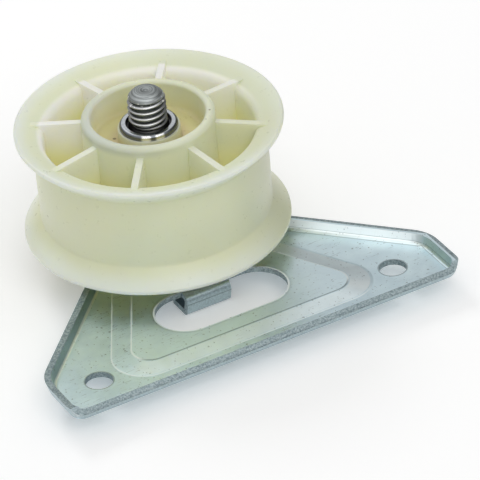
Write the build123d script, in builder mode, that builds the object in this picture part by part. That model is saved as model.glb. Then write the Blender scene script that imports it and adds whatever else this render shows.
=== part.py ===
from build123d import *
from math import cos, radians, sin, tan
import os

os.makedirs("parts", exist_ok=True)

# Driving dimensions, in millimetres. The origin is midway between the two mounting holes,
# on the underside of the sheet. X runs along the holes, Y towards the pulley, Z up the stud.

# Bracket sheet and outline
sheet = 1.5
bend_radius = 1.0
lip_angle = 75.0
lip_height = 2.65
front_lip_height = 0.7
trim_start = 2.7
trim_end = 0.6
trim_steepness = 1.5
trim_margin = 4.0
hole_span = 80.5
hole_diameter = 6.8
stud_distance = 44.1
floor_half_width = 50.2
floor_offset = 0.35
floor_front = 8.8
floor_radius = 8.9
side_angle = 43.2
shoulder_radius = 7.0
front_corner_radius = 1.0

# Raised panel pressed into the bracket
panel_rise = 0.65
panel_ramp = 5.2
panel_front = 6.1
panel_back = 33.6
panel_side_reach = 11.95
panel_side_angle = 28.3
panel_front_radius = 8.5
panel_back_radius = 6.5
panel_front_tightening = 0.75
panel_back_tightening = 0.6

# Slot and the catch that is folded out of its back edge
slot_width = 16.0
slot_length = 34.5
slot_centre = 11.9
slot_offset = -0.6
catch_width = 12.1
catch_offset = -1.2
catch_reach = 3.5
catch_drop = 6.15
catch_lean = 1.6
catch_foot = 6.9
catch_root = 0.6
catch_bend = 2.2
catch_heel_bend = 1.7

# Stud and spacer
stud_diameter = 9.525
thread_diameter = 9.45
stud_tip_height = 44.8
stud_end_diameter = 5.0
stud_dome_height = 3.0
stud_dome_bulge = 0.9
stud_dimple = 0.5
dimple_radius = 0.9
journal_drop = 1.0
head_bevel_width = 1.2
head_bevel_height = 0.8
stud_head_diameter = 18.0
stud_head_height = 4.0
relief_depth = 0.45
relief_width = 1.2
hole_clearance = 0.03
spacer_diameter = 15.0
spacer_chamfer = 0.4
spacer_clearance = 0.08
axial_clearance = 0.15

# Pulley
flange_diameter = 65.6
track_diameter = 56.8
pulley_width = 29.4
flange_edge = 1.2
flange_flare = 5.6
pulley_height = 7.0
rim_wall = 2.6
funnel_drop = 2.4
funnel_radius = 2.4
hub_outer_radius = 16.3
hub_wall = 2.35
hub_proud = 1.8
web_thickness = 3.0
hub_floor_depth = 5.4
hub_floor_thickness = 3.2
collar_radius = 7.6
collar_drop = 1.3
boss_radius = 10.2
spoke_count = 8
spoke_first_angle = -35.3
spoke_thickness = 1.35
spoke_drop = 0.6
spoke_fall = 0.7
spoke_draft = 1.0
spoke_taper = 1.5
rib_root = 0.5
rib_bury = 1.0
cut_margin = 1.0
draft = 0.25
track_crown = 0.12
track_root_radius = 1.0
flange_edge_radius = 0.5
hub_edge_radius = 1.2
hub_lip_radius = 0.8
pocket_root_radius = 1.2
seat_step = 1.6

# Needle bearing
cup_diameter = 14.29
cup_wall = 0.79
cup_length = 25.4
cup_drop = 0.6
cup_edge_radius = 0.7
lip_bore = 11.15
race_gap = 0.04
roller_count = 15
roller_length = 20.0
cage_gap = 0.28
cage_end_gap = 0.3
pocket_gap = 0.05
pocket_end_gap = 0.2

# Positions worked out from the sizes above
pulley_top = pulley_height + pulley_width
pulley_middle = pulley_height + pulley_width / 2
stud_radius = stud_diameter / 2
race_radius = cup_diameter / 2 - cup_wall
pitch_radius = (stud_radius + race_radius) / 2
roller_radius = (race_radius - stud_radius) / 2 - race_gap
cup_top = pulley_top - cup_drop
cup_bottom = cup_top - cup_length
panel_top = sheet + panel_rise
axis = Location((0, stud_distance, 0))


def bracket_outline(grow, height):
    """The flat of the bracket, grown outwards by an amount, as a sketch at a height."""
    reach = floor_radius + grow
    half = floor_half_width + grow
    lean = radians(side_angle)
    tip = stud_distance + reach / sin(lean)
    shoulder = stud_distance + (reach - half * cos(lean)) / sin(lean)
    with BuildSketch(Plane.XY.offset(height)) as outline:
        with BuildLine():
            Polyline(
                (-half, -floor_front - grow),
                (half, -floor_front - grow),
                (half, shoulder),
                (0, tip),
                (-half, shoulder),
                close=True,
            )
        make_face()
        corners = outline.vertices().sort_by(Axis.Y)
        fillet(corners[0:2], front_corner_radius + grow)
        corners = [v for v in outline.vertices() if abs(v.Y - shoulder) < 0.01]
        fillet(corners, shoulder_radius + grow)
        fillet(outline.vertices().sort_by(Axis.Y)[-1], reach)
    return outline.sketch.moved(Location((floor_offset, 0, 0)))


def panel_outline(shrink, height):
    """The raised panel, shrunk inwards by an amount, as a sketch at a height."""
    lean = radians(panel_side_angle)
    reach = panel_side_reach - shrink
    front = -panel_front + shrink
    back = panel_back - shrink
    front_half = (reach - (front - stud_distance) * sin(lean)) / cos(lean)
    back_half = (reach - (back - stud_distance) * sin(lean)) / cos(lean)
    with BuildSketch(Plane.XY.offset(height)) as outline:
        with BuildLine():
            Polyline(
                (-front_half, front),
                (front_half, front),
                (back_half, back),
                (-back_half, back),
                close=True,
            )
        make_face()
        corners = outline.vertices().sort_by(Axis.Y)
        fillet(corners[0:2], panel_front_radius - shrink * panel_front_tightening)
        corners = outline.vertices().sort_by(Axis.Y)
        fillet(corners[-2:], panel_back_radius - shrink * panel_back_tightening)
    return outline.sketch


# Bracket: a shallow tray of sheet steel with a flared lip, a raised panel and a folded catch
lip_top = sheet + lip_height
lip_run = 1 / tan(radians(lip_angle))
inner_corner = bend_radius * tan(radians(lip_angle) / 2)
outer_corner = (bend_radius + sheet) * tan(radians(lip_angle) / 2)
front_lip_top = sheet + front_lip_height
catch_back = slot_centre + slot_width / 2
catch_front = catch_back - catch_reach
catch_bottom = panel_top - catch_drop
with BuildPart() as bracket:
    add(bracket_outline(outer_corner, 0))
    add(bracket_outline(outer_corner + lip_top * lip_run, lip_top))
    loft(ruled=True)
    fillet(bracket.faces().sort_by(Axis.Z)[0].edges(), bend_radius + sheet)
    add(bracket_outline(inner_corner, sheet))
    add(bracket_outline(inner_corner + lip_height * lip_run, lip_top))
    loft(ruled=True, mode=Mode.SUBTRACT)
    floor_face = bracket.faces().filter_by(lambda f: abs(f.center().Z - sheet) < 0.01)
    fillet(floor_face.edges(), bend_radius)

    # The lip is trimmed low along the front edge
    with BuildSketch(Plane.YZ) as trim:
        with BuildLine():
            low = (-floor_front - outer_corner - trim_margin, front_lip_top)
            start = (-floor_front - trim_start, front_lip_top)
            end = (-floor_front - trim_end, lip_top)
            Line(low, start)
            Spline(start, end, tangents=((1, 0), (1, trim_steepness)))
            Line(end, (end[0], lip_top + trim_margin))
            Line((end[0], lip_top + trim_margin), (low[0], lip_top + trim_margin))
            Line((low[0], lip_top + trim_margin), low)
        make_face()
    extrude(amount=floor_half_width + outer_corner + trim_margin, both=True, mode=Mode.SUBTRACT)

    # Raised panel
    add(panel_outline(0, sheet))
    add(panel_outline(panel_ramp, panel_top))
    loft(ruled=True)
    add(panel_outline(0, 0))
    add(panel_outline(panel_ramp, panel_rise))
    loft(ruled=True, mode=Mode.SUBTRACT)

    # Slot, mounting holes and stud hole
    with BuildSketch() as openings:
        with Locations((slot_offset, slot_centre)):
            SlotOverall(slot_length, slot_width)
        with GridLocations(hole_span, 0, 2, 1):
            Circle(hole_diameter / 2)
        with Locations((0, stud_distance)):
            Circle(stud_radius + hole_clearance)
    extrude(amount=lip_top, mode=Mode.SUBTRACT)

    # Catch: a tongue that runs out of the slot's back edge, turns down and folds back under
    with BuildSketch(Plane.YZ.offset(catch_offset)) as catch:
        with BuildLine():
            FilletPolyline(
                (catch_back + catch_root, panel_top),
                (catch_front, panel_top),
                (catch_front + catch_lean, catch_bottom),
                (catch_front + catch_lean + catch_foot, catch_bottom),
                radius=(catch_bend, catch_heel_bend),
            )
            offset(amount=sheet, side=Side.LEFT)
        make_face()
    extrude(amount=catch_width / 2, both=True)
bracket.part.label = "bracket"
export_step(bracket.part, "parts/bracket.step")

# Stud: a low round head under the sheet, a plain journal, a relief and a domed threaded end
journal_top = cup_top - journal_drop
dome_base = stud_tip_height - stud_dome_height
with BuildPart() as stud:
    with BuildSketch(Plane.XZ) as half:
        with BuildLine():
            head = stud_head_diameter / 2
            crest = thread_diameter / 2
            tip = stud_end_diameter / 2
            Polyline(
                (0, -stud_head_height),
                (head - head_bevel_width, -stud_head_height),
                (head, -stud_head_height + head_bevel_height),
                (head, 0),
                (stud_radius, 0),
                (stud_radius, journal_top),
                (crest - relief_depth, journal_top + relief_depth),
                (crest - relief_depth, journal_top + relief_width),
                (crest, journal_top + relief_width + relief_depth),
                (crest, dome_base),
            )
            Spline(
                (crest, dome_base),
                (tip, stud_tip_height),
                tangents=((0, 1), (-1, stud_dome_bulge)),
            )
            Line((tip, stud_tip_height), (dimple_radius, stud_tip_height))
            Line((dimple_radius, stud_tip_height), (0, stud_tip_height - stud_dimple))
            Line((0, stud_tip_height - stud_dimple), (0, -stud_head_height))
        make_face()
    revolve(axis=Axis.Z)
stud.part.label = "stud"
export_step(stud.part.moved(axis), "parts/stud.step")

# Spacer: a plain sleeve that holds the pulley off the sheet
spacer_top = pulley_height - axial_clearance
with BuildPart() as spacer:
    with BuildSketch(Plane.XY.offset(sheet)):
        Circle(spacer_diameter / 2)
        Circle(stud_radius + spacer_clearance, mode=Mode.SUBTRACT)
    extrude(amount=spacer_top - sheet)
    rims = spacer.edges().filter_by(GeomType.CIRCLE).sort_by(lambda e: e.radius)[-2:]
    chamfer(rims, spacer_chamfer)
spacer.part.label = "spacer"
export_step(spacer.part.moved(axis), "parts/spacer.step")

# Pulley: one nylon moulding, turned about its axis, with straight ribs in both faces
flange = flange_diameter / 2
track = track_diameter / 2
wall = track - rim_wall
bore = cup_diameter / 2
half_width = pulley_width / 2
web_face = web_thickness / 2
hub_floor = half_width - hub_floor_depth
hub_inner_radius = hub_outer_radius - hub_wall
with BuildPart() as pulley_wheel:
    # Ribs: one straight rib on each spoke line, drafted away from the middle web
    ring_middle = (hub_inner_radius + hub_outer_radius) / 2
    rib_length = flange - ring_middle
    rib_top = half_width - spoke_drop
    for side in (1, -1):
        web_plane = Plane.XY.offset(side * (web_face - rib_root))
        web_plane = web_plane if side > 0 else -web_plane
        with BuildSketch(web_plane) as ribs:
            with PolarLocations(ring_middle + rib_length / 2, spoke_count, side * spoke_first_angle):
                Rectangle(rib_length, spoke_thickness + spoke_draft)
        extrude(amount=rib_top - web_face + rib_root, taper=spoke_taper)

    # Their tops fall a little towards the rim
    with BuildSketch(Plane.XZ):
        with BuildLine():
            Polyline(
                (hub_outer_radius, rib_top),
                (track, rib_top - spoke_fall),
                (flange, rib_top - spoke_fall),
                (flange, half_width),
                (hub_outer_radius, half_width),
                close=True,
            )
        make_face()
        mirror(about=Plane.XZ)
    revolve(axis=Axis.Z, mode=Mode.SUBTRACT)

    # The ribs end inside the rim, a little short of the belt track and the flanges
    with BuildSketch(Plane.XZ):
        with BuildLine():
            Polyline(
                (track - rib_bury, 0),
                (track - rib_bury, half_width - flange_flare),
                (flange - rib_bury, half_width - flange_edge),
                (flange - rib_bury, half_width + cut_margin),
                (flange + cut_margin, half_width + cut_margin),
                (flange + cut_margin, 0),
                close=True,
            )
        make_face()
        mirror(about=Plane.XZ)
    revolve(axis=Axis.Z, mode=Mode.SUBTRACT)

    # Upper half of the section, from the middle plane up
    with BuildSketch(Plane.XZ) as upper:
        with BuildLine():
            Polyline(
                (bore, 0),
                (bore, half_width - collar_drop - cup_drop),
                (collar_radius, half_width - collar_drop - cup_drop),
                (collar_radius + draft, hub_floor),
                (hub_inner_radius - draft, hub_floor),
                (hub_inner_radius, half_width + hub_proud),
                (hub_outer_radius, half_width + hub_proud),
                (hub_outer_radius + draft, web_face),
                (wall - draft, web_face),
                (wall, half_width - funnel_drop),
                (flange, half_width),
                (flange, half_width - flange_edge),
                (track, half_width - flange_flare),
                (track + track_crown, 0),
                close=True,
            )
        make_face()

        rounds = (
            (wall, half_width - funnel_drop, funnel_radius),
            (track, half_width - flange_flare, track_root_radius),
            (flange, half_width, flange_edge_radius),
            (flange, half_width - flange_edge, flange_edge_radius),
            (hub_inner_radius, half_width + hub_proud, hub_lip_radius),
            (hub_outer_radius, half_width + hub_proud, hub_edge_radius),
            (hub_inner_radius - draft, hub_floor, pocket_root_radius),
        )
        for x, z, radius in rounds:
            fillet(upper.vertices().sort_by_distance((x, z))[0], radius)
    revolve(axis=Axis.Z)
    with BuildSketch(Plane.XZ):
        mirror(upper.sketch_local, about=Plane.XZ)
    revolve(axis=Axis.Z)

    # The lower recess runs up to the hub floor, round a thicker boss that seats the bearing
    recess_top = hub_floor - hub_floor_thickness
    with BuildSketch(Plane.XY.offset(recess_top)):
        Circle(hub_inner_radius - draft)
    extrude(amount=-recess_top - half_width - hub_proud, mode=Mode.SUBTRACT)
    with BuildSketch(Plane.XY.offset(-half_width)):
        Circle(boss_radius)
    extrude(amount=half_width + recess_top + rib_root)
    seat = half_width - cup_drop - cup_length
    with BuildSketch(Plane.XY.offset(seat)):
        Circle(bore)
    extrude(amount=pulley_width, mode=Mode.SUBTRACT)
    with BuildSketch(Plane.XY.offset(-half_width)):
        Circle(bore - seat_step)
    extrude(amount=pulley_width, mode=Mode.SUBTRACT)
pulley_wheel.part.label = "pulley_wheel"
pulley_place = Location((0, stud_distance, pulley_middle))
export_step(pulley_wheel.part.moved(pulley_place), "parts/pulley_wheel.step")

# Bearing cup: a drawn steel shell, turned in at both ends over the rollers
with BuildPart() as bearing_cup:
    with BuildSketch(Plane.XZ) as cup_half:
        with BuildLine():
            Polyline(
                (lip_bore / 2, 0),
                (bore, 0),
                (bore, cup_length),
                (lip_bore / 2, cup_length),
                (lip_bore / 2, cup_length - cup_wall),
                (race_radius, cup_length - cup_wall),
                (race_radius, cup_wall),
                (lip_bore / 2, cup_wall),
                close=True,
            )
        make_face()
        outer_corners = cup_half.vertices().group_by(Axis.X)[-1]
        fillet(outer_corners, cup_edge_radius)
    revolve(axis=Axis.Z)
bearing_cup.part.label = "bearing_cup"
cup_place = Location((0, stud_distance, cup_bottom))
export_step(bearing_cup.part.moved(cup_place), "parts/bearing_cup.step")

# Cage: a sleeve between the two races with a pocket for each roller
cage_length = cup_length - 2 * cup_wall - 2 * cage_end_gap
pocket_length = roller_length + 2 * pocket_end_gap
pocket_width = 2 * (roller_radius + pocket_gap)
with BuildPart() as bearing_cage:
    with BuildSketch():
        Circle(race_radius - cage_gap)
        Circle(stud_radius + cage_gap, mode=Mode.SUBTRACT)
    extrude(amount=cage_length / 2, both=True)
    with PolarLocations(pitch_radius, roller_count):
        Box(race_radius, pocket_width, pocket_length, mode=Mode.SUBTRACT)
bearing_cage.part.label = "bearing_cage"
cage_place = Location((0, stud_distance, (cup_top + cup_bottom) / 2))
export_step(bearing_cage.part.moved(cage_place), "parts/bearing_cage.step")

# Needle rollers: plain pins, one in each pocket
for index in range(roller_count):
    angle = radians(360 / roller_count * index)
    with BuildPart() as roller:
        Cylinder(roller_radius, roller_length)
    roller_name = f"needle_roller_{index + 1:02d}"
    roller.part.label = roller_name
    across = pitch_radius * cos(angle)
    along = stud_distance + pitch_radius * sin(angle)
    roller_place = Location((across, along, (cup_top + cup_bottom) / 2))
    export_step(roller.part.moved(roller_place), f"parts/{roller_name}.step")
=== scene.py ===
from math import cos, pi, radians, sin
import bmesh
import bpy
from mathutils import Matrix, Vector


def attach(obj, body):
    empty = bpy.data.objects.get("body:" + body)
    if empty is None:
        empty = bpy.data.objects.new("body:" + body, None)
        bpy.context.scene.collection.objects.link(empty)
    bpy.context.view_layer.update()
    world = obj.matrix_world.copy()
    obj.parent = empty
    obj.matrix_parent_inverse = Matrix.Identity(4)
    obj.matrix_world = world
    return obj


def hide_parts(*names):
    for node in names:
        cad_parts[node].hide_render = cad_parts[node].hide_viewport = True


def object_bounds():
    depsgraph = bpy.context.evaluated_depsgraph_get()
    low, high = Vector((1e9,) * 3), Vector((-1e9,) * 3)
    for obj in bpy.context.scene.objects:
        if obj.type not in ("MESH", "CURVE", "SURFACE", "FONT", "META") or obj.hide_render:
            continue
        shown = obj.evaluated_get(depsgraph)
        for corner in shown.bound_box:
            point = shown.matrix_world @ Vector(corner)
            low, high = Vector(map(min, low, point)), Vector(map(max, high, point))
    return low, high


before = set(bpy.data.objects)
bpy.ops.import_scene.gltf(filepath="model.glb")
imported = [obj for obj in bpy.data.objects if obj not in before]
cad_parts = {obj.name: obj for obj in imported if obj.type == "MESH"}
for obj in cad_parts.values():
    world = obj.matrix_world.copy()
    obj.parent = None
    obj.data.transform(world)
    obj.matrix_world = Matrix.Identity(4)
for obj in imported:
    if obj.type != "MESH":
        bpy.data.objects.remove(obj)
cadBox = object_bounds()
mm = 0.001

# what several pieces share, in mm
common = {
    "axisY": 44.1,           # how far the stud stands behind the mounting holes
    "mergeWithin": 0.002,    # mesh points closer than this become one
}


def finishMesh(bm, name, smooth=True):
    # makes an object from a bmesh, with its faces turned outwards
    bmesh.ops.remove_doubles(bm, verts=bm.verts, dist=common["mergeWithin"] * mm)
    bmesh.ops.recalc_face_normals(bm, faces=bm.faces)
    mesh = bpy.data.meshes.new(name)
    bm.to_mesh(mesh)
    bm.free()
    for face in mesh.polygons:
        face.use_smooth = smooth
    piece = bpy.data.objects.new(name, mesh)
    bpy.context.scene.collection.objects.link(piece)
    return piece


def newMaterial(name):
    material = bpy.data.materials.new(name)
    material.use_nodes = True
    tree = material.node_tree
    shader = tree.nodes["Principled BSDF"]
    return material, tree, shader


def addNode(tree, kind, settings=None, links=None):
    # one node, with its plain values and what feeds its sockets
    node = tree.nodes.new(kind)
    for key, value in (settings or {}).items():
        if hasattr(node, key) and key not in node.inputs:
            setattr(node, key, value)
        else:
            node.inputs[key].default_value = value
    for key, source in (links or {}).items():
        tree.links.new(source, node.inputs[key])
    return node


def calc(tree, operation, a, b=0.0, clamp=False):
    node = tree.nodes.new("ShaderNodeMath")
    node.operation = operation
    node.use_clamp = clamp
    for index, value in enumerate((a, b)):
        if isinstance(value, (int, float)):
            node.inputs[index].default_value = value
        else:
            tree.links.new(value, node.inputs[index])
    return node.outputs[0]


def product(tree, first, *others):
    for other in others:
        first = calc(tree, "MULTIPLY", first, other)
    return first


def highest(tree, first, *others):
    for other in others:
        first = calc(tree, "MAXIMUM", first, other)
    return first


def opposite(tree, mask):
    return calc(tree, "SUBTRACT", 1.0, mask)


def scaled(tree, value, share, base, clamp=False):
    # value times share, plus base
    return calc(tree, "ADD", calc(tree, "MULTIPLY", value, share), base, clamp)


def distance(tree, a, b):
    # how far from where both values are 0
    squares = [calc(tree, "POWER", calc(tree, "ABSOLUTE", value), 2.0) for value in (a, b)]
    return calc(tree, "SQRT", calc(tree, "ADD", *squares))


def vectorWith(tree, operation, vector, fixed):
    # the one number that a vector makes with a fixed vector
    node = addNode(tree, "ShaderNodeVectorMath", {"operation": operation})
    tree.links.new(vector, node.inputs[0])
    node.inputs[1].default_value = fixed
    return node.outputs["Value"]


def split(tree, vector):
    node = addNode(tree, "ShaderNodeSeparateXYZ", None, {"Vector": vector})
    return node.outputs["X"], node.outputs["Y"], node.outputs["Z"]


def between(tree, value, low, high):
    # 0 below low, 1 above high, smooth in between; high may be the smaller one
    node = tree.nodes.new("ShaderNodeMapRange")
    node.interpolation_type = "SMOOTHSTEP"
    tree.links.new(value, node.inputs["Value"])
    node.inputs["From Min"].default_value = min(low, high)
    node.inputs["From Max"].default_value = max(low, high)
    node.inputs["To Min"].default_value = 0.0 if low < high else 1.0
    node.inputs["To Max"].default_value = 1.0 if low < high else 0.0
    return node.outputs["Result"]


def area(tree, at, limits):
    # a mask, 1 inside all its limits; a list holds areas of which one is enough
    # a limit says where the mask starts and is full and, for a band, where it stops being
    # full and ends: in mm for places, as plain numbers for facings
    if isinstance(limits, list):
        return highest(tree, *(area(tree, at, part) for part in limits))
    masks = []
    for key, edges in limits.items():
        unit = 1.0 if key.startswith("facing") else mm
        masks.append(between(tree, at[key], edges[0] * unit, edges[1] * unit))
        if len(edges) == 4:
            masks.append(between(tree, at[key], edges[3] * unit, edges[2] * unit))
    return product(tree, *masks)


def mixColour(tree, factor, first, second):
    # of the mix node, sockets 0, 6 and 7 are the factor and the two colours
    node = tree.nodes.new("ShaderNodeMix")
    node.data_type = "RGBA"
    tree.links.new(factor, node.inputs[0])
    for index, colour in ((6, first), (7, second)):
        if isinstance(colour, tuple):
            node.inputs[index].default_value = (*colour, 1)
        else:
            tree.links.new(colour, node.inputs[index])
    return node.outputs[2]


def coat(tree, colour, mask, share, over):
    # a second colour laid over part of a piece
    return mixColour(tree, product(tree, mask, share), colour, over)


def darker(colour, share):
    return tuple(part * share for part in colour)


def addBump(tree, shader, height, strength, depth):
    settings = {"Strength": strength, "Distance": depth * mm}
    bump = addNode(tree, "ShaderNodeBump", settings, {"Height": height})
    tree.links.new(bump.outputs["Normal"], shader.inputs["Normal"])


def newGroup(name, inputs, outputs):
    tree = bpy.data.node_groups.new(name, "ShaderNodeTree")
    for label, kind, value in inputs:
        socket = tree.interface.new_socket(name=label, in_out="INPUT", socket_type=kind)
        if value is not None:
            socket.default_value = value
    for label, kind in outputs:
        tree.interface.new_socket(name=label, in_out="OUTPUT", socket_type=kind)
    start = tree.nodes.new("NodeGroupInput")
    end = tree.nodes.new("NodeGroupOutput")
    return tree, start, end


def useGroup(tree, group, place, values):
    node = tree.nodes.new("ShaderNodeGroup")
    node.node_tree = group
    for key, value in values.items():
        node.inputs[key].default_value = value
    tree.links.new(place, node.inputs["Vector"])
    return node.outputs


def measure(tree):
    # where a point is, in all, by axis and from the stud's axis
    at = {"place": tree.nodes.new("ShaderNodeTexCoord").outputs["Object"]}
    at.update(zip("xyz", split(tree, at["place"])))
    at["behind"] = calc(tree, "SUBTRACT", at["y"], common["axisY"] * mm)
    at["radius"] = distance(tree, at["x"], at["behind"])
    return at


def towards(tree, at, way):
    # the cosine between a level direction and where a point lies from the stud's axis
    along = calc(tree, "ADD", product(tree, at["x"], way[0]), product(tree, at["behind"], way[1]))
    return calc(tree, "DIVIDE", along, at["radius"])


# grains, blotches and scuffs for all the materials
effects = {
    "warpScale": 1400.0,            # unevenness of the grains' outlines
    "warpReach": 0.6,               # mm
    "fineStep": 14.0,               # how much finer the second size of blotch is
    "blotchEdges": (0.3, 0.7),
    "scuffTurns": (25, 118),        # degrees
    "scuffStretch": (1, 14, 1),
    "scuffEdges": (0.66, 0.74),
    "scuffPatchScale": 70.0,
}


def makeSpecks():
    # scattered dark grains: a few cells of a cell pattern carry one each
    tree, start, end = newGroup(
        "specks",
        [("Vector", "NodeSocketVector", None), ("Scale", "NodeSocketFloat", 900.0),
         ("Share", "NodeSocketFloat", 0.2), ("Grain", "NodeSocketFloat", 0.25)],
        [("Mask", "NodeSocketFloat")],
    )
    warp = addNode(tree, "ShaderNodeTexNoise", {"Scale": effects["warpScale"], "Detail": 2.0},
                   {"Vector": start.outputs["Vector"]})
    shifted = addNode(tree, "ShaderNodeVectorMath", {"operation": "MULTIPLY_ADD"})
    tree.links.new(warp.outputs["Color"], shifted.inputs[0])
    shifted.inputs[1].default_value = (effects["warpReach"] * mm,) * 3
    tree.links.new(start.outputs["Vector"], shifted.inputs[2])
    cells = addNode(tree, "ShaderNodeTexVoronoi", {"Randomness": 1.0},
                    {"Vector": shifted.outputs[0], "Scale": start.outputs["Scale"]})
    pick = addNode(tree, "ShaderNodeSeparateColor", None, {"Color": cells.outputs["Color"]})
    chosen = calc(tree, "LESS_THAN", pick.outputs[0], start.outputs["Share"])
    size = calc(tree, "MULTIPLY", pick.outputs[1], start.outputs["Grain"])
    near = calc(tree, "LESS_THAN", cells.outputs["Distance"], size)
    tree.links.new(calc(tree, "MULTIPLY", chosen, near), end.inputs["Mask"])
    return tree


def makeBlotches():
    # slow uneven patches in two sizes, from 0 to 1
    tree, start, end = newGroup(
        "blotches",
        [("Vector", "NodeSocketVector", None), ("Scale", "NodeSocketFloat", 60.0)],
        [("Value", "NodeSocketFloat"), ("Fine", "NodeSocketFloat")],
    )
    fineScale = calc(tree, "MULTIPLY", start.outputs["Scale"], effects["fineStep"])
    kinds = {
        "Value": ({"Detail": 3.0, "Roughness": 0.55}, start.outputs["Scale"]),
        "Fine": ({"Detail": 4.0, "Roughness": 0.7}, fineScale),
    }
    for label, (settings, scale) in kinds.items():
        noise = addNode(tree, "ShaderNodeTexNoise", settings,
                        {"Vector": start.outputs["Vector"], "Scale": scale})
        patches = between(tree, noise.outputs["Fac"], *effects["blotchEdges"])
        tree.links.new(patches, end.inputs[label])
    return tree


def makeScratches():
    # short fine scuffs: noise stretched in two directions, kept only in patches
    tree, start, end = newGroup(
        "scratches",
        [("Vector", "NodeSocketVector", None), ("Scale", "NodeSocketFloat", 200.0),
         ("Share", "NodeSocketFloat", 0.6)],
        [("Mask", "NodeSocketFloat")],
    )
    masks = []
    for turn in effects["scuffTurns"]:
        mapping = addNode(tree, "ShaderNodeMapping",
                          {"Rotation": (0, 0, radians(turn)), "Scale": effects["scuffStretch"]},
                          {"Vector": start.outputs["Vector"]})
        lines = addNode(tree, "ShaderNodeTexNoise", {"Detail": 2.0, "Distortion": 0.4},
                        {"Vector": mapping.outputs["Vector"], "Scale": start.outputs["Scale"]})
        masks.append(between(tree, lines.outputs["Fac"], *effects["scuffEdges"]))
    patch = addNode(tree, "ShaderNodeTexNoise",
                    {"Scale": effects["scuffPatchScale"], "Detail": 2.0},
                    {"Vector": start.outputs["Vector"]})
    kept = calc(tree, "GREATER_THAN", patch.outputs["Fac"], start.outputs["Share"])
    tree.links.new(product(tree, highest(tree, *masks), kept), end.inputs["Mask"])
    return tree


specks = makeSpecks()
blotches = makeBlotches()
scratches = makeScratches()
print("shared effects made")

# satin nylon of the pulley wheel, lengths in mm
nylon = {
    "colour": (0.80, 0.84, 0.66),
    "trackColour": (0.79, 0.81, 0.54),
    "flangeLitColour": (0.86, 0.92, 0.87),
    "rightShadeColour": (0.60, 0.63, 0.47),
    "hubRingShadeColour": (0.60, 0.65, 0.58),
    "wallColour": (1.0, 1.0, 0.93),
    "pocketColour": (0.92, 0.89, 0.50),
    "pocketRight": (1.0, 0.98, 0.66),
    "recessColour": (0.74, 0.68, 0.33),
    "tanColour": (0.60, 0.46, 0.30),
    "speckColour": (0.16, 0.13, 0.08),
    "trackAt": {"z": (34.5, 30.0), "radius": (26.2, 27.2)},
    "trackShare": 0.5,
    "flangeLitAt": {"radius": (28.4, 32.2)},
    "flangeLitShare": 0.7,
    "rightShadeAt": {"x": (4.0, 26.0)},
    "rightShadeShare": (1.1, 0.38),        # on the track, and everywhere
    "hubRingAt": {"radius": (13.2, 13.9, 16.6, 17.4), "z": (35.0, 37.0)},
    "hubRingLeft": {"x": (2.0, -12.0)},
    "hubRingShare": (0.70, 0.15),    # more at the left, and all round
    "wallAt": {"radius": (16.0, 16.8, 26.4, 27.8), "z": (37.0, 35.0)},
    "wallBack": {"behind": (-12.0, 14.0)},
    "wallShare": (0.85, 0.15),       # more at the back, and all round
    "hubWallAt": {"radius": (13.0, 13.7, 14.4, 15.0), "z": (38.5, 37.5), "x": (2.0, -8.0)},
    "hubWallShare": 0.6,
    "pocketAt": {"z": (32.5, 23.2), "radius": (27.0, 25.8)},
    "pocketShare": 0.9,
    "pocketRightAt": {"x": (6.0, 18.0)},
    "pocketRightShare": 0.6,
    "recessAt": {"z": (36.5, 31.0), "radius": (14.6, 13.0)},
    "recessShare": 0.85,
    "patchScale": 45.0,
    "patchShare": 0.14,
    "tanAt": {"radius": (6.6, 7.2, 8.2, 11.2), "z": (34.5, 31.0)},
    "tanShare": 0.5,
    "grains": {"Scale": 210.0, "Share": 0.006, "Grain": 0.10},
    "grainShare": 0.7,
    "specks": [(12.89, 36.41, 38.1, 0.30), (10.17, 33.28, 38.1, 0.20), (-7.3, 48.8, 31.0, 0.45)],
    "speckEdges": (1.3, 0.6),        # in sizes of the speck
    "speckShare": 0.8,
    "roughness": 0.27,
    "roughnessSpread": 0.08,
    "ripple": 0.012,
    "rippleDepth": 0.4,
    "subsurface": 0.55,
    "subsurfaceReach": (1.0, 0.9, 0.5),
    "subsurfaceDepth": 3.5,
    "refraction": 1.5,
}


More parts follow.
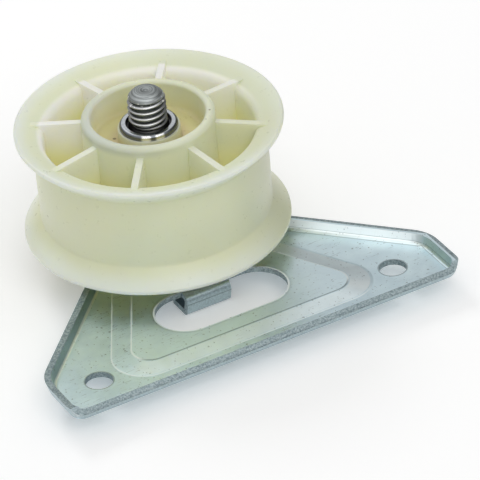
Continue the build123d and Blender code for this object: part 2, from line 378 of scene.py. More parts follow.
def makeNylon():
    material, tree, shader = newMaterial("satinNylon")
    at = measure(tree)
    patch = useGroup(tree, blotches, at["place"], {"Scale": nylon["patchScale"]})

    def shape(key):
        return area(tree, at, nylon[key])

    # the belt track is yellower, and the thin flange edges are painted whiter, as painted light
    # shining through them
    track = product(tree, shape("trackAt"), nylon["trackShare"])
    colour = mixColour(tree, track, nylon["colour"], nylon["trackColour"])
    colour = coat(tree, colour, shape("flangeLitAt"), nylon["flangeLitShare"], nylon["flangeLitColour"])
    # painted shade: the right-hand side is painted darker and yellower, most on the track
    rightShade = scaled(tree, track, *nylon["rightShadeShare"], clamp=True)
    colour = coat(tree, colour, shape("rightShadeAt"), rightShade, nylon["rightShadeColour"])
    # painted shade: the top of the hub ring is painted greyer, most at the left
    paintedShading = scaled(tree, shape("hubRingLeft"), *nylon["hubRingShare"])
    colour = coat(tree, colour, shape("hubRingAt"), paintedShading, nylon["hubRingShadeColour"])
    # light comes through the thin walls high up in the pockets, most at the back
    backward = scaled(tree, shape("wallBack"), *nylon["wallShare"])
    walls = product(tree, shape("wallAt"), backward)
    hubWall = product(tree, shape("hubWallAt"), nylon["hubWallShare"])
    colour = mixColour(tree, highest(tree, walls, hubWall), colour, nylon["wallColour"])
    # painted shade: low in its pockets and its recess the nylon is painted darker and yellower, the
    # pockets a little lighter towards the right
    rightward = product(tree, shape("pocketRightAt"), nylon["pocketRightShare"])
    inPocket = mixColour(tree, rightward, nylon["pocketColour"], nylon["pocketRight"])
    colour = coat(tree, colour, shape("pocketAt"), nylon["pocketShare"], inPocket)
    colour = coat(tree, colour, shape("recessAt"), nylon["recessShare"], nylon["recessColour"])
    # random patches take a little of the recess's yellow too
    colour = coat(tree, colour, patch["Value"], nylon["patchShare"], nylon["recessColour"])
    # tan, darker round the foot of the bearing boss low in the recess
    colour = coat(tree, colour, shape("tanAt"), nylon["tanShare"], nylon["tanColour"])
    # dirt: very few scattered grains, and the larger specks where they really are
    grains = useGroup(tree, specks, at["place"], nylon["grains"])
    dirt = product(tree, grains["Mask"], nylon["grainShare"])
    for *centre, size in nylon["specks"]:
        away = vectorWith(tree, "DISTANCE", at["place"], [value * mm for value in centre])
        spot = between(tree, away, *(size * edge * mm for edge in nylon["speckEdges"]))
        dirt = highest(tree, dirt, product(tree, spot, nylon["speckShare"]))
    colour = mixColour(tree, dirt, colour, nylon["speckColour"])
    tree.links.new(colour, shader.inputs["Base Color"])
    rough = scaled(tree, patch["Fine"], nylon["roughnessSpread"], nylon["roughness"])
    tree.links.new(rough, shader.inputs["Roughness"])
    addBump(tree, shader, patch["Value"], nylon["ripple"], nylon["rippleDepth"])
    shader.inputs["Subsurface Weight"].default_value = nylon["subsurface"]
    shader.inputs["Subsurface Radius"].default_value = nylon["subsurfaceReach"]
    shader.inputs["Subsurface Scale"].default_value = nylon["subsurfaceDepth"] * mm
    shader.inputs["IOR"].default_value = nylon["refraction"]
    return material


# zinc plated sheet of the bracket, lengths in mm
zinc = {
    "light": (0.72, 0.86, 0.90),
    "dark": (0.57, 0.70, 0.76),
    "speckColour": (0.12, 0.15, 0.15),
    "panelColour": (0.80, 0.93, 0.98),
    "ridgeColour": (0.86, 0.92, 0.92),
    "creaseColour": (0.20, 0.25, 0.26),
    "rightWallColour": (0.95, 0.97, 0.96),
    "leftWallColour": (0.30, 0.38, 0.37),
    "edgeLight": (0.38, 0.45, 0.46),
    "edgeDark": (0.12, 0.16, 0.17),
    "foldLight": (0.40, 0.50, 0.53),
    "foldColour": (0.24, 0.31, 0.33),
    "hollowShadeColour": (0.03, 0.04, 0.04),
    "patchScale": 55.0,
    "patchShare": 0.5,
    "spangleScale": 240.0,
    "spangleShare": 0.4,
    "gritScale": 2300.0,
    "scuffs": {"Scale": 300.0, "Share": 0.48},
    "scuffShare": 0.55,
    "grains": {"Scale": 1150.0, "Share": 0.22, "Grain": 0.32},
    "grainShare": 0.5,
    "dust": {"Scale": 1700.0, "Share": 0.2, "Grain": 0.38},
    "dustShare": 0.4,
    "flat": {"facingZ": (0.975, 0.985)},
    "frontal": {"facingY": (-0.03, -0.09)},
    "rightward": {"facingX": (0.03, 0.09)},
    "panelAt": {"z": (2.14, 2.15)},
    "panelShare": 0.45,
    "rampAt": {"z": (1.56, 1.59, 2.06, 2.09)},
    "rampShare": 0.5,
    "creaseAt": {"z": (1.502, 1.510, 1.530, 1.565)},
    "creaseShare": 0.6,
    "ridgeAt": {"z": (2.080, 2.120, 2.142, 2.148)},
    "ridgeShare": 0.75,
    "slot": (-0.6, 11.9, 9.25, 8.0),     # centre x and y, half of the straight, end radius
    "slotLineAt": {"fromSlot": (0.50, 0.36), "facingZ": (0.8, 0.9)},
    "slotLineShare": 0.85,
    "slotDirtAt": {"fromSlot": (1.3, 0.4), "facingZ": (0.8, 0.9)},
    "slotDirtShare": 0.22,
    "holes": (40.25, 3.4),               # x of each centre, radius
    "holeDirtAt": {"fromHole": (0.40, 0.18), "facingZ": (0.8, 0.9)},
    "holeDirtShare": 0.65,
    "rightWallAt": {"facingX": (-0.25, -0.5), "facingY": (-0.25, -0.5), "z": (1.8, 2.2)},
    "rightWallShare": 0.8,
    "leftWallAt": {"facingX": (0.25, 0.5), "facingY": (-0.25, -0.5), "z": (1.8, 2.2)},
    "leftWallShare": 0.6,
    "bendAt": [{"across": (8.85, 8.95, 9.10, 9.20)},
               {"across": (9.2, 9.6), "z": (2.20, 2.26, 2.36, 2.42)}],
    "bendRight": {"facingZ": (0.1, 0.2), "x": (0.0, 2.0)},
    "bendShare": 0.55,
    "catchAt": {"x": (-7.5, -7.4, 4.9, 5.0), "y": (15.4, 15.5, 19.8, 19.9)},
    "catchEnds": {"facingSide": (0.9, 0.97)},
    "catchShare": 0.75,
    "shearAt": {"z": (-0.50, -0.40, -0.15, -0.05)},
    "shearShare": 0.7,
    "hollowShadeAt": {"x": (-7.5, -7.4, 4.9, 5.0), "y": (15.9, 16.1), "z": (0.4, 0.0),
                 "facingIn": (0.3, 0.6)},
    "hollowShadeShare": 0.85,
    "outward": [{"facingY": (-0.5, -0.8)}, {"facingX": (-0.5, -0.8)}],
    "outwardAt": [{"y": (-8.8, -9.2)}, {"x": (-49.0, -50.0)}],
    "downward": {"facingZ": (0.1, -0.1)},
    "outwardShare": 0.7,
    "upright": {"facingLevel": (0.16, 0.08)},
    "lipEndAt": {"z": (4.03, 4.11)},
    "lipEndOuter": [{"across": (10.8, 11.1)}, {"x": (2.0, 0.0)}],
    "frontTopAt": {"y": (-9.2, -9.6), "z": (1.8, 2.0), "facingZ": (0.3, 0.6)},
    "edgeShare": 0.85,
    "lipFrom": (0.35, 44.1, 41.65),      # a point of the slanted line, x of the straight one
    "lipLean": 43.2,                     # degrees
    "roughness": 0.30,
    "roughnessSpread": 0.14,
    "edgeRoughness": 0.2,
    "highlightedShare": 0.75,                 # how much less metallic the painted highlight lines are
    "spangleHeight": 0.4,
    "scuffHeight": 0.4,
    "bump": (0.25, 0.1),                 # strength, depth
}


def measureSheet(tree):
    # the bracket's places and facings, and how far a point is from its slot, holes and lip
    coords = tree.nodes.new("ShaderNodeTexCoord")
    at = {"place": coords.outputs["Object"]}
    at.update(zip("xyz", split(tree, at["place"])))
    at.update(zip(("facingX", "facingY", "facingZ"), split(tree, coords.outputs["Normal"])))
    at["facingSide"] = calc(tree, "ABSOLUTE", at["facingX"])
    at["facingLevel"] = calc(tree, "ABSOLUTE", at["facingZ"])
    at["facingIn"] = calc(tree, "MAXIMUM", at["facingZ"], at["facingY"])
    slotX, slotY, slotHalf, slotRadius = (value * mm for value in zinc["slot"])
    along = calc(tree, "ABSOLUTE", calc(tree, "SUBTRACT", at["x"], slotX))
    along = calc(tree, "MAXIMUM", calc(tree, "SUBTRACT", along, slotHalf), 0.0)
    away = distance(tree, along, calc(tree, "SUBTRACT", at["y"], slotY))
    at["fromSlot"] = calc(tree, "SUBTRACT", away, slotRadius)
    holeX, holeRadius = (value * mm for value in zinc["holes"])
    along = calc(tree, "SUBTRACT", calc(tree, "ABSOLUTE", at["x"]), holeX)
    at["fromHole"] = calc(tree, "SUBTRACT", distance(tree, along, at["y"]), holeRadius)
    # across: from inside out over the right-hand side, its slanted and its straight part
    lipX, lipY, straightX = (value * mm for value in zinc["lipFrom"])
    lean = radians(zinc["lipLean"])
    rightwards = product(tree, calc(tree, "SUBTRACT", at["x"], lipX), cos(lean))
    backwards = product(tree, calc(tree, "SUBTRACT", at["y"], lipY), sin(lean))
    slanted = calc(tree, "ADD", rightwards, backwards)
    at["across"] = calc(tree, "MAXIMUM", slanted, calc(tree, "SUBTRACT", at["x"], straightX))
    return at


def makeZinc():
    material, tree, shader = newMaterial("zincPlatedSheet")
    at = measureSheet(tree)
    patch = useGroup(tree, blotches, at["place"], {"Scale": zinc["patchScale"]})
    spangle = useGroup(tree, blotches, at["place"], {"Scale": zinc["spangleScale"]})
    grit = useGroup(tree, blotches, at["place"], {"Scale": zinc["gritScale"]})
    scuffs = useGroup(tree, scratches, at["place"], zinc["scuffs"])
    grains = useGroup(tree, specks, at["place"], zinc["grains"])
    dust = useGroup(tree, specks, at["place"], zinc["dust"])

    def shape(key):
        return area(tree, at, zinc[key])

    mottle = calc(tree, "ADD", product(tree, patch["Value"], zinc["patchShare"]),
                  product(tree, spangle["Value"], zinc["spangleShare"]))
    colour = mixColour(tree, mottle, zinc["light"], zinc["dark"])
    colour = coat(tree, colour, scuffs["Mask"], zinc["scuffShare"], zinc["speckColour"])
    colour = coat(tree, colour, grains["Mask"], zinc["grainShare"], zinc["speckColour"])
    # the raised panel and its slope, with painted light: a painted highlight along the outer edge
    # except at the right, and along the inner one except at the front, where a painted shadow line
    # lies; the slope is painted lighter where it faces the front or the right
    flat, frontal, rightward = shape("flat"), shape("frontal"), shape("rightward")
    raised = product(tree, shape("panelAt"), flat)
    colour = coat(tree, colour, raised, zinc["panelShare"], zinc["panelColour"])
    lighter = calc(tree, "ADD", product(tree, frontal, zinc["rampShare"]),
                   product(tree, rightward, zinc["rampShare"]), True)
    colour = coat(tree, colour, shape("rampAt"), lighter, zinc["ridgeColour"])
    crease = product(tree, shape("creaseAt"), flat, zinc["creaseShare"], opposite(tree, rightward))
    colour = mixColour(tree, crease, colour, zinc["ridgeColour"])
    ridge = product(tree, shape("ridgeAt"), flat, zinc["ridgeShare"])
    ridgeTone = mixColour(tree, frontal, zinc["ridgeColour"], zinc["creaseColour"])
    colour = mixColour(tree, ridge, colour, ridgeTone)
    # a painted highlight line round the slot, and dirt round the slot and the mounting holes
    paintedShading = shape("slotLineAt")
    colour = coat(tree, colour, shape("slotDirtAt"), zinc["slotDirtShare"], zinc["creaseColour"])
    colour = coat(tree, colour, paintedShading, zinc["slotLineShare"], zinc["ridgeColour"])
    colour = coat(tree, colour, shape("holeDirtAt"), zinc["holeDirtShare"], zinc["creaseColour"])
    # painted light and shade: the inner walls of the lip, the right one painted bright, the left
    # one painted dark
    rightWall, leftWall = shape("rightWallAt"), shape("leftWallAt")
    colour = coat(tree, colour, rightWall, zinc["rightWallShare"], zinc["rightWallColour"])
    colour = coat(tree, colour, leftWall, zinc["leftWallShare"], zinc["leftWallColour"])
    colour = coat(tree, colour, dust["Mask"], zinc["dustShare"], zinc["speckColour"])
    # two thin dark lines where the right-hand lip's bend begins and ends
    bendLines = product(tree, shape("bendAt"), shape("bendRight"))
    colour = coat(tree, colour, bendLines, zinc["bendShare"], zinc["creaseColour"])
    # the folded catch is grey and grainy with a sheared line, like the outer walls of the lip
    folded = product(tree, shape("catchAt"), opposite(tree, shape("catchEnds")))
    sheared = product(tree, shape("shearAt"), folded)
    outside = product(tree, shape("outward"), shape("outwardAt"), shape("downward"))
    mottled = mixColour(tree, grit["Value"], zinc["foldLight"], zinc["foldColour"])
    colour = coat(tree, colour, folded, zinc["catchShare"], mottled)
    colour = coat(tree, colour, sheared, zinc["shearShare"], zinc["creaseColour"])
    colour = coat(tree, colour, outside, zinc["outwardShare"], mottled)
    # painted shade: the inside of the fold is painted nearly black
    colour = coat(tree, colour, shape("hollowShadeAt"), zinc["hollowShadeShare"], zinc["hollowShadeColour"])
    # cut edges are raw: walls of the openings, the lip's top and the front edge
    # only the outer half of the right-hand lip's top is raw
    upright = product(tree, shape("upright"), opposite(tree, folded))
    lipEnd = product(tree, shape("lipEndAt"), shape("lipEndOuter"))
    edge = highest(tree, upright, lipEnd, shape("frontTopAt"))
    raw = mixColour(tree, grit["Value"], zinc["edgeLight"], zinc["edgeDark"])
    colour = coat(tree, colour, edge, zinc["edgeShare"], raw)
    tree.links.new(colour, shader.inputs["Base Color"])
    rough = scaled(tree, patch["Fine"], zinc["roughnessSpread"], zinc["roughness"])
    rough = calc(tree, "ADD", rough, product(tree, edge, zinc["edgeRoughness"]))
    tree.links.new(rough, shader.inputs["Roughness"])
    # the painted highlight lines scatter light like bare bright metal does
    highlighted = highest(tree, paintedShading, product(tree, ridge, opposite(tree, frontal)), crease)
    metallic = opposite(tree, product(tree, highlighted, zinc["highlightedShare"]))
    tree.links.new(metallic, shader.inputs["Metallic"])
    height = calc(tree, "ADD", product(tree, spangle["Value"], zinc["spangleHeight"]),
                  product(tree, grit["Value"], edge))
    height = calc(tree, "SUBTRACT", height, product(tree, scuffs["Mask"], zinc["scuffHeight"]))
    addBump(tree, shader, height, *zinc["bump"])
    return material


# steels of the bearing, the stud and the spacer, lengths in mm
steel = {
    "roller": (0.30, 0.30, 0.29),
    "cage": (0.12, 0.12, 0.12),
    "polishedRoughness": 0.16,
    "cageRoughness": 0.4,
    "roughnessSpread": 0.10,
    "rollerGrain": 150.0,
    "cageGrain": 300.0,
    "shade": 0.72,                           # of the darker grain
    "shadeShare": 0.7,
    "bump": (0.08, 0.05),                    # strength, depth
    "cupTop": (0.72, 0.76, 0.80),
    "cupRound": (0.17, 0.18, 0.20),
    "cupInsideShade": (0.06, 0.06, 0.06),
    "cupHighlight": (0.92, 0.92, 0.92),
    "cupRoundAt": {"radius": (6.55, 6.80)},
    "cupInsideShadeAt": {"radius": (5.72, 5.62)},
    "cupHighlightWays": [(-0.549, -0.836), (-0.082, -0.997)],
    "cupHighlightEdges": (0.980, 0.997),        # cosines
    "cupPatchShare": 0.25,
    "stud": (0.40, 0.41, 0.42),
    "studTop": (0.44, 0.47, 0.47),
    "studCrest": (0.80, 0.81, 0.81),
    "studGroove": (0.25, 0.27, 0.26),
    "nickGlint": (0.95, 0.95, 0.95),
    "journalShade": (0.05, 0.05, 0.045),
    "studGrain": 260.0,
    "studShade": 0.7,
    "threadAt": {"z": (34.9, 35.3, 42.9, 43.3)},
    "crestAt": {"radius": (4.25, 4.62)},
    "crestGrain": (0.75, 0.35),              # in the grain, and all over
    "crestSide": (0.75, 0.25),               # more on the highlighted side, and all round
    "crestShare": 0.8,
    "highlightedWay": (-0.50, -0.866),
    "highlightedEdges": (0.45, 0.97),             # cosines
    "grooveAt": {"radius": (4.35, 4.00)},
    "grooveShare": 0.9,
    "domeAt": {"z": (42.8, 43.3)},
    "domeShade": 0.55,
    "turnedScale": 3200.0,
    "turnedSway": 0.06,
    "turnedEdges": (0.42, 0.60),
    "nickGlints": {"Scale": 1500.0, "Share": 0.5, "Grain": 0.5},
    "nickGlintAt": {"z": (41.4, 41.8, 43.2, 44.0), "radius": (3.9, 4.2)},
    "nickGlintShare": 0.9,
    "nickGlintDull": 0.7,                         # how much less metallic a nick is
    "journalShadeAt": {"z": (9.0, 9.5, 35.8, 36.6)},
    "journalShadeShare": 0.9,
    "studRoughness": 0.34,
    "studRoughnessSpread": 0.15,
    "crestRoughness": -0.12,
    "domeRoughness": 0.14,
    "studBump": (0.2, 0.06),                 # strength, depth
}


def finishSteel(tree, shader, patch, roughness):
    # the gloss and the fine surface that the plain steels share
    rough = scaled(tree, patch["Value"], steel["roughnessSpread"], roughness)
    tree.links.new(rough, shader.inputs["Roughness"])
    shader.inputs["Metallic"].default_value = 1.0
    addBump(tree, shader, patch["Fine"], *steel["bump"])


def makeSteel(name, colour, roughness, grainScale):
    # plain steel with a fine uneven grain
    material, tree, shader = newMaterial(name)
    place = tree.nodes.new("ShaderNodeTexCoord").outputs["Object"]
    patch = useGroup(tree, blotches, place, {"Scale": grainScale})
    mottle = product(tree, patch["Fine"], steel["shadeShare"])
    mixed = mixColour(tree, mottle, colour, darker(colour, steel["shade"]))
    tree.links.new(mixed, shader.inputs["Base Color"])
    finishSteel(tree, shader, patch, roughness)
    return material


def makeCupSteel():
    # the bearing shell: a satin top, and a rounded shoulder painted darker as a painted reflection,
    # with two painted highlights on it
    material, tree, shader = newMaterial("cupSteel")
    at = measure(tree)
    patch = useGroup(tree, blotches, at["place"], {"Scale": steel["rollerGrain"]})
    shoulder = area(tree, at, steel["cupRoundAt"])
    colour = mixColour(tree, shoulder, steel["cupTop"], steel["cupRound"])
    spots = [between(tree, towards(tree, at, way), *steel["cupHighlightEdges"])
             for way in steel["cupHighlightWays"]]
    colour = coat(tree, colour, highest(tree, *spots), shoulder, steel["cupHighlight"])
    colour = coat(tree, colour, patch["Fine"], steel["cupPatchShare"], steel["cupRound"])
    # painted shade: the inside of the shell is painted nearly black
    inside = area(tree, at, steel["cupInsideShadeAt"])
    colour = mixColour(tree, inside, colour, steel["cupInsideShade"])
    tree.links.new(colour, shader.inputs["Base Color"])
    finishSteel(tree, shader, patch, steel["polishedRoughness"])
    return material


def makeStudSteel():
    material, tree, shader = newMaterial("studSteel")
    at = measure(tree)
    fine = useGroup(tree, blotches, at["place"], {"Scale": steel["studGrain"]})["Fine"]

    def shape(key):
        return area(tree, at, steel[key])

    # painted highlights: the crests are painted bright, brightest towards the front left
    threaded = shape("threadAt")
    side = between(tree, towards(tree, at, steel["highlightedWay"]), *steel["highlightedEdges"])
    crest = product(tree, shape("crestAt"), scaled(tree, fine, *steel["crestGrain"]),
                    threaded, scaled(tree, side, *steel["crestSide"]))
    # painted shade: the grooves are painted dark
    groove = product(tree, shape("grooveAt"), threaded)
    # the rounded end is lighter and carries fine turned rings
    sway = product(tree, at["x"], steel["turnedSway"])
    spun = addNode(tree, "ShaderNodeCombineXYZ", None, {"X": at["radius"], "Y": sway})
    turned = addNode(tree, "ShaderNodeTexNoise", {"Scale": steel["turnedScale"], "Detail": 2.0},
                     {"Vector": spun.outputs[0]})
    rings = between(tree, turned.outputs["Fac"], *steel["turnedEdges"])
    domed = shape("domeAt")
    colour = mixColour(tree, fine, steel["stud"], darker(steel["stud"], steel["studShade"]))
    top = mixColour(tree, rings, steel["studTop"], darker(steel["studTop"], steel["domeShade"]))
    colour = mixColour(tree, domed, colour, top)
    colour = coat(tree, colour, crest, steel["crestShare"], steel["studCrest"])
    colour = coat(tree, colour, groove, steel["grooveShare"], steel["studGroove"])
    # bright nicks where the thread runs out into the rounded end, also painted white as glints, and
    # painted shade down at the bearing
    nickGlints = useGroup(tree, specks, at["place"], steel["nickGlints"])
    nickGlinted = product(tree, nickGlints["Mask"], shape("nickGlintAt"))
    colour = coat(tree, colour, nickGlinted, steel["nickGlintShare"], steel["nickGlint"])
    colour = coat(tree, colour, shape("journalShadeAt"), steel["journalShadeShare"], steel["journalShade"])
    tree.links.new(colour, shader.inputs["Base Color"])
    rough = scaled(tree, fine, steel["studRoughnessSpread"], steel["studRoughness"])
    rough = calc(tree, "ADD", rough, product(tree, crest, steel["crestRoughness"]))
    rough = calc(tree, "ADD", rough, product(tree, domed, steel["domeRoughness"]))
    tree.links.new(rough, shader.inputs["Roughness"])
    metallic = opposite(tree, product(tree, nickGlinted, steel["nickGlintDull"]))
    tree.links.new(metallic, shader.inputs["Metallic"])
    addBump(tree, shader, fine, *steel["studBump"])
    return material


# the stud again, with its screw thread, in mm
stud = {
    "headRadius": 9.0,
    "headBottom": -4.0,
    "headTop": 0.0,
    "headBevel": (1.2, 0.8),            # inwards and upwards
    "journalRadius": 4.7625,
    "journalTop": 34.8,
    "reliefRise": 0.45,
    "crestRadius": 4.725,
    "rootRadius": 3.95,
    "pitch": 1.5875,
    "ridgeFoot": 0.15,                  # how deep the ridge is set into the root
    "ridgeRound": 0.1,
    "ridgeShares": (0.0, 0.36, 0.42, 0.5, 0.56, 0.92),    # of the pitch
    "threadBottom": 35.6,
    "threadTop": 42.9,
    "fadeAbove": 0.3,                   # all three above the top of the journal
    "fadeFrom": 0.35,
    "fadeLength": 1.0,
    "fadeDepth": 0.2,                   # below the root
    "domeBase": 41.8,
    "domeRings": 8,
    "domeGrowth": 0.5,                  # the most that the core widens from ring to ring
    "domePowers": (2.0, 0.75),
    "tip": 44.8,
    "tipRadius": 2.5,
    "tipRim": 0.35,
    "tipInset": 0.5,                    # of thread that would stand above the tip
    "dimpleRadius": 0.9,
    "dimpleDepth": 0.4,
    "steps": 96,
}


def spinProfile(bm, points, steps):
    # turns a line of (radius, height) points once round the Z axis
    verts = [bm.verts.new((r, 0, z)) for r, z in points]
    edges = [bm.edges.new(pair) for pair in zip(verts, verts[1:])]
    bmesh.ops.spin(
        bm, geom=verts + edges, cent=(0, 0, 0), axis=(0, 0, 1), angle=2 * pi, steps=steps,
        use_merge=True,
    )


def studLimit(z):
    # radius of the rounded end at a height, and the crest below it
    if z <= stud["domeBase"]:
        return stud["crestRadius"]
    risePower, fallPower = stud["domePowers"]
    rise = min(1.0, (z - stud["domeBase"]) / (stud["tip"] - stud["domeBase"]))
    wider = (stud["crestRadius"] - stud["tipRadius"]) * max(0.0, 1 - rise ** risePower) ** fallPower
    return stud["tipRadius"] + wider


def addCore(bm):
    # head, journal, relief, the thread's root and the rounded end with its dimple
    bottom, head = stud["headBottom"], stud["headRadius"]
    bevelIn, bevelUp = stud["headBevel"]
    profile = [
        (0, bottom), (head - bevelIn, bottom), (head, bottom + bevelUp), (head, stud["headTop"]),
        (stud["journalRadius"], stud["headTop"]), (stud["journalRadius"], stud["journalTop"]),
        (stud["rootRadius"], stud["journalTop"] + stud["reliefRise"]),
        (stud["rootRadius"], stud["threadTop"]),
    ]
    for index in range(stud["domeRings"] + 1):
        rise = (stud["tip"] - stud["threadTop"]) * index / stud["domeRings"]
        widest = stud["rootRadius"] + stud["domeGrowth"] * index
        height = stud["threadTop"] + rise
        profile.append((min(studLimit(height), widest), height))
    profile += [
        (stud["tipRadius"] - stud["tipRim"], stud["tip"]), (stud["dimpleRadius"], stud["tip"]),
        (0, stud["tip"] - stud["dimpleDepth"]),
    ]
    spinProfile(bm, [(r * mm, z * mm) for r, z in profile], stud["steps"])


def addThread(bm):
    # one section of a V ridge, spun and lifted by the pitch on each turn
    pitch, crest = stud["pitch"], stud["crestRadius"]
    foot, shoulder = stud["rootRadius"] - stud["ridgeFoot"], crest - stud["ridgeRound"]
    radii = (foot, shoulder, crest, crest, shoulder, foot)
    base = stud["threadBottom"] - pitch
    verts = [bm.verts.new((r * mm, 0, (base + share * pitch) * mm))
             for r, share in zip(radii, stud["ridgeShares"])]
    edges = [bm.edges.new(pair) for pair in zip(verts, verts[1:] + verts[:1])]
    steps = int((stud["tip"] - base) / pitch * stud["steps"])
    made = bmesh.ops.spin(
        bm, geom=verts + edges, cent=(0, 0, 0), axis=(0, 0, 1),
        angle=steps / stud["steps"] * 2 * pi, steps=steps,
        dvec=(0, 0, pitch / stud["steps"] * mm), use_duplicate=False,
    )
    last = [part for part in made["geom_last"] if isinstance(part, bmesh.types.BMVert)]
    for loop in (verts, last):
        if len(loop) == len(radii):
            bm.faces.new(loop)


def trimThread(bm):
    # the ridge fades at its start and is cut back to the rounded end
    low = stud["rootRadius"] - stud["fadeDepth"]
    for vert in bm.verts:
        radius = Vector((vert.co.x, vert.co.y)).length / mm
        height = vert.co.z / mm
        if radius > low and height > stud["journalTop"] + stud["fadeAbove"]:
            fade = (height - stud["journalTop"] - stud["fadeFrom"]) / stud["fadeLength"]
            limit = studLimit(height)
            limit = min(limit, low + (limit - low) * min(1.0, max(0.0, fade)))
            if height > stud["tip"]:
                vert.co.z = stud["tip"] * mm
                limit = stud["tipRadius"] - stud["tipInset"]
            if radius > limit:
                vert.co.x *= limit / radius
                vert.co.y *= limit / radius


def makeStud():
    bm = bmesh.new()
    addCore(bm)
    addThread(bm)
    trimThread(bm)
    bmesh.ops.translate(bm, verts=bm.verts, vec=(0, common["axisY"] * mm, 0))
    return finishMesh(bm, "threaded_stud")


def paint(piece, material):
    piece.data.materials.append(material)


def paintNode(name, material):
    # a carried-over node keeps its mesh and gets the material in its own slots
    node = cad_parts[name]
    if not node.material_slots:
        node.data.materials.append(material)
    for slot in node.material_slots:
        slot.material = material


rollerSteel = makeSteel("rollerSteel", steel["roller"], steel["polishedRoughness"],
                        steel["rollerGrain"])
cageSteel = makeSteel("cageSteel", steel["cage"], steel["cageRoughness"], steel["cageGrain"])
studSteel = makeStudSteel()
paintNode("pulley_wheel", makeNylon())
paintNode("bracket", makeZinc())
paintNode("bearing_cup", makeCupSteel())
paintNode("bearing_cage", cageSteel)
paintNode("spacer", studSteel)
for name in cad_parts:
    if name.startswith("needle_roller"):
        paintNode(name, rollerSteel)
threadedStud = makeStud()
paint(threadedStud, studSteel)
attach(threadedStud, "bracket")
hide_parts("stud")
print("pieces and finishes made")

# studio: a pale floor, a soft room with a bright ceiling, and two lamps
studio = {
    "floorSize": 6.0,                 # m
    "floorColour": (0.93, 0.93, 0.93),
    "floorLift": 0.17,                # added to what the camera sees of the floor
    "worldColour": (1.0, 1.0, 1.0),
    "roomLow": 0.34,                  # light that the room gives, low down and high up
    "roomHigh": 0.78,
    "metalLow": 0.22,                 # and how bright shiny metal sees it
    "metalHigh": 1.28,
    "metalRight": 0.20,               # share of that on the right-hand side
    "dimUpTo": 0.10,                  # where low ends and high starts, as sines
    "brightFrom": 0.95,
    "windowFrom": (-0.66, -0.73, 0.17),
    "windowEdges": (0.86, 0.97),      # cosines
    "windowStrength": 1.7,
    "dimFrom": (0.92, 0.17, 0.35),
    "dimEdges": (0.55, 0.95),
    "lampsAim": (0, 0.03, 0.01),      # m
    # power in W, size and place in m, and whether the lamp shows in reflections
    # the key stands up behind the object, the fill high in front of it
    "lamps": {
        "keyLamp": (1.8, 0.30, (0.02, 0.82, 0.62), False),
        "fillLamp": (3.0, 0.8, (-0.10, -0.80, 0.95), True),
    },
}
floorHeight = cadBox[0].z


def makeFloor():
    bm = bmesh.new()
    bmesh.ops.create_grid(bm, x_segments=1, y_segments=1, size=studio["floorSize"] / 2)
    bmesh.ops.translate(bm, verts=bm.verts, vec=(0, 0, floorHeight))
    floor = finishMesh(bm, "floor", smooth=False)
    material, tree, shader = newMaterial("paleFloor")
    tree.nodes.remove(shader)
    diffuse = addNode(tree, "ShaderNodeBsdfDiffuse", {"Color": (*studio["floorColour"], 1)})
    rays = tree.nodes.new("ShaderNodeLightPath").outputs
    seen = highest(tree, rays["Is Camera Ray"], rays["Is Transmission Ray"], rays["Is Glossy Ray"])
    glow = addNode(tree, "ShaderNodeEmission", {"Color": (1, 1, 1, 1)},
                   {"Strength": product(tree, seen, studio["floorLift"])})
    both = addNode(tree, "ShaderNodeAddShader")
    tree.links.new(diffuse.outputs[0], both.inputs[0])
    tree.links.new(glow.outputs[0], both.inputs[1])
    tree.links.new(both.outputs[0], tree.nodes["Material Output"].inputs["Surface"])
    paint(floor, material)


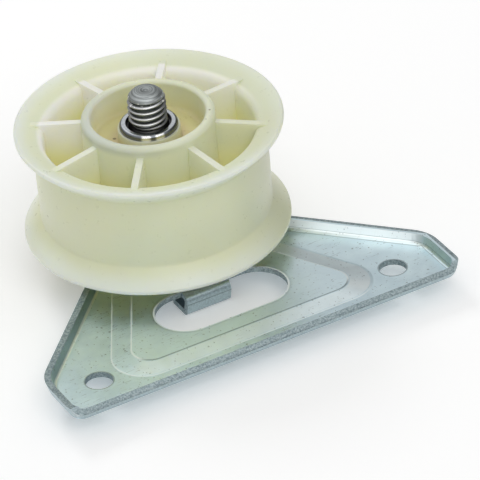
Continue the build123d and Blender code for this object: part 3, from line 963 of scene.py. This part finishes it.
def makeWorld():
    world = bpy.data.worlds.new("softRoom")
    bpy.context.scene.world = world
    world.use_nodes = True
    tree = world.node_tree
    back = tree.nodes["Background"]
    back.inputs["Color"].default_value = (*studio["worldColour"], 1)
    rays = tree.nodes.new("ShaderNodeLightPath").outputs
    sight = tree.nodes.new("ShaderNodeTexCoord").outputs["Generated"]
    ceiling = between(tree, split(tree, sight)[2], studio["dimUpTo"], studio["brightFrom"])

    def seenTowards(direction, edges):
        # 1 where the room is seen in a direction, 0 away from it
        return between(tree, vectorWith(tree, "DOT_PRODUCT", sight, direction), *edges)

    def rising(low, high):
        return scaled(tree, ceiling, high - low, low)

    room = rising(studio["roomLow"], studio["roomHigh"])
    # shiny metal sees a dim right-hand side and a bright window at the front left
    dim = product(tree, seenTowards(studio["dimFrom"], studio["dimEdges"]),
                  1 - studio["metalRight"])
    metal = product(tree, rising(studio["metalLow"], studio["metalHigh"]), opposite(tree, dim))
    window = product(tree, seenTowards(studio["windowFrom"], studio["windowEdges"]),
                     studio["windowStrength"])
    metal = calc(tree, "ADD", metal, window)
    glossy = rays["Is Glossy Ray"]
    strength = calc(tree, "ADD", product(tree, metal, glossy),
                    product(tree, room, opposite(tree, glossy)))
    # the camera sees plain white
    direct = highest(tree, rays["Is Camera Ray"], rays["Is Transmission Ray"])
    strength = calc(tree, "ADD", product(tree, strength, opposite(tree, direct)), direct)
    tree.links.new(strength, back.inputs["Strength"])


def addLamp(name, power, size, place, shines):
    lamp = bpy.data.lights.new(name, "AREA")
    lamp.energy = power
    lamp.size = size
    holder = bpy.data.objects.new(name, lamp)
    bpy.context.scene.collection.objects.link(holder)
    holder.location = place
    holder.visible_glossy = shines
    aim = Vector(studio["lampsAim"]) - Vector(place)
    holder.rotation_euler = aim.to_track_quat("-Z", "Y").to_euler()


makeFloor()
makeWorld()
for lampName, settings in studio["lamps"].items():
    addLamp(lampName, *settings)
print("studio made")

# camera at the photograph's place
view = {
    "place": (-0.38381, -0.77038, 0.60634),    # m
    "turn": (55.8856, 4.1944, -29.3086),       # degrees about X, Y and Z
    "lens": 330.89,                            # mm
    "sensor": 36.0,
    "clip": (0.01, 20.0),                      # m
}
camera = bpy.data.cameras.new("camera")
camera.lens = view["lens"]
camera.sensor_width = view["sensor"]
camera.clip_start, camera.clip_end = view["clip"]
cameraHolder = bpy.data.objects.new("camera", camera)
bpy.context.scene.collection.objects.link(cameraHolder)
cameraHolder.location = view["place"]
cameraHolder.rotation_euler = [radians(angle) for angle in view["turn"]]
bpy.context.scene.camera = cameraHolder
bpy.context.scene.view_settings.view_transform = "Standard"
